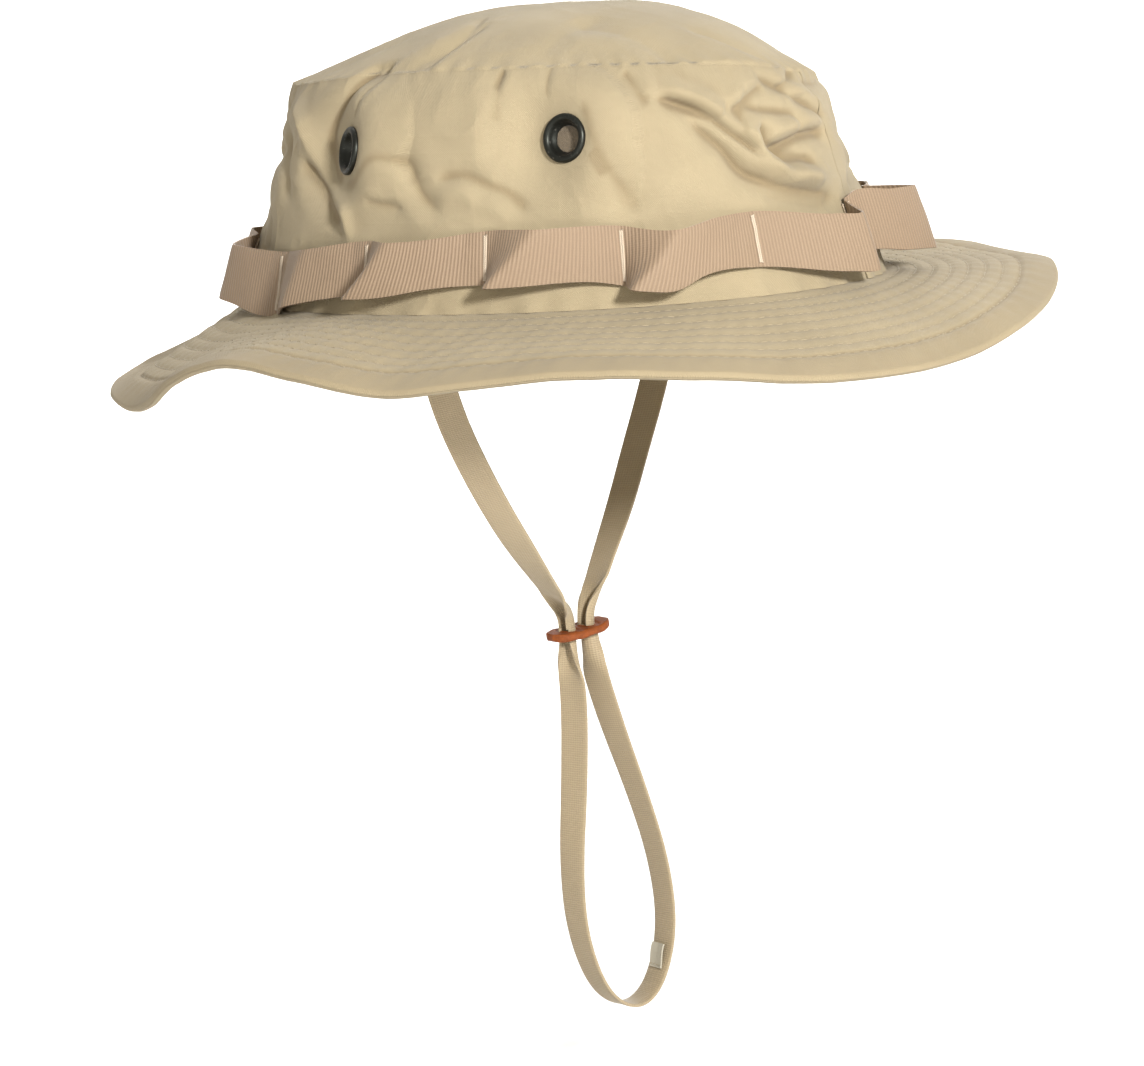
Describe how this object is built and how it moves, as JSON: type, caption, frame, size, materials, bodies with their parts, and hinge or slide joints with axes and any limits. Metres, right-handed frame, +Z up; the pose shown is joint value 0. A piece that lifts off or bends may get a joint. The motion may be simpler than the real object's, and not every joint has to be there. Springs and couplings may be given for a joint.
{
  "type": "boonie hat",
  "caption": "Soft cloth bush hat: tall crown with mesh vents, webbing loops round its foot, wide stitched wavy brim and a hanging chin strap with a leather slider.",
  "frame": {"origin": "centre of the head opening, in the plane of the seam between crown and brim", "axes": "+X towards the front of the hat, +Y towards its left side, +Z up"},
  "size_m": [0.3105, 0.2792, 0.3237],
  "materials": {
    "crown_cloth": "khaki ripstop cotton, matte",
    "interlining": "stiff undyed canvas",
    "sweatband_tape": "tan cotton twill tape",
    "label_cloth": "blank off-white woven label",
    "branch_webbing": "pinkish tan ribbed nylon webbing",
    "tack_thread": "pale bar-tack thread",
    "strap_tape": "tan flat woven tape",
    "slider_leather": "rust-brown leather, waxed edges",
    "tag_cloth": "blank pale cloth tag",
    "blackened_brass": "dark blackened brass, worn rims",
    "screen_wire": "dark woven wire"
  },
  "bodies": {
    "hat": {"crown_side_left": "crown_cloth", "crown_side_right": "crown_cloth", "crown_top": "crown_cloth", "brim_upper": "crown_cloth", "brim_lower": "crown_cloth", "brim_hem": "crown_cloth", "brim_interlining": "interlining", "sweatband": "sweatband_tape", "care_label": "label_cloth", "branch_loop_band": "branch_webbing", "branch_loop_tacks": "tack_thread", "strap_end_left": "strap_tape", "strap_end_right": "strap_tape", "vent_eyelet_front_left": "blackened_brass", "vent_washer_front_left": "blackened_brass", "vent_screen_front_left": "screen_wire", "vent_eyelet_rear_left": "blackened_brass", "vent_washer_rear_left": "blackened_brass", "vent_screen_rear_left": "screen_wire", "vent_eyelet_rear_right": "blackened_brass", "vent_washer_rear_right": "blackened_brass", "vent_screen_rear_right": "screen_wire", "vent_eyelet_front_right": "blackened_brass", "vent_washer_front_right": "blackened_brass", "vent_screen_front_right": "screen_wire"},
    "strap": {"strap_upper_left": "strap_tape", "strap_upper_right": "strap_tape", "strap_loop": "strap_tape", "strap_tag": "tag_cloth"},
    "slider": {"strap_slider": "slider_leather"}
  },
  "joints": [
    {"name": "strap_swing", "type": "hinge", "parent": "hat", "child": "strap", "pos_m": [-0.0053, 0, -0.0005], "axis": [0, 1, 0], "range_deg": [-60, 60], "deforming": ["strap_upper_left", "strap_upper_right"]},
    {"name": "slider_slide", "type": "slide", "parent": "strap", "child": "slider", "axis": [0, 0, 1], "range_m": [-0.07, 0.06], "deforming": ["strap_upper_left", "strap_upper_right", "strap_loop"]}
  ]
}
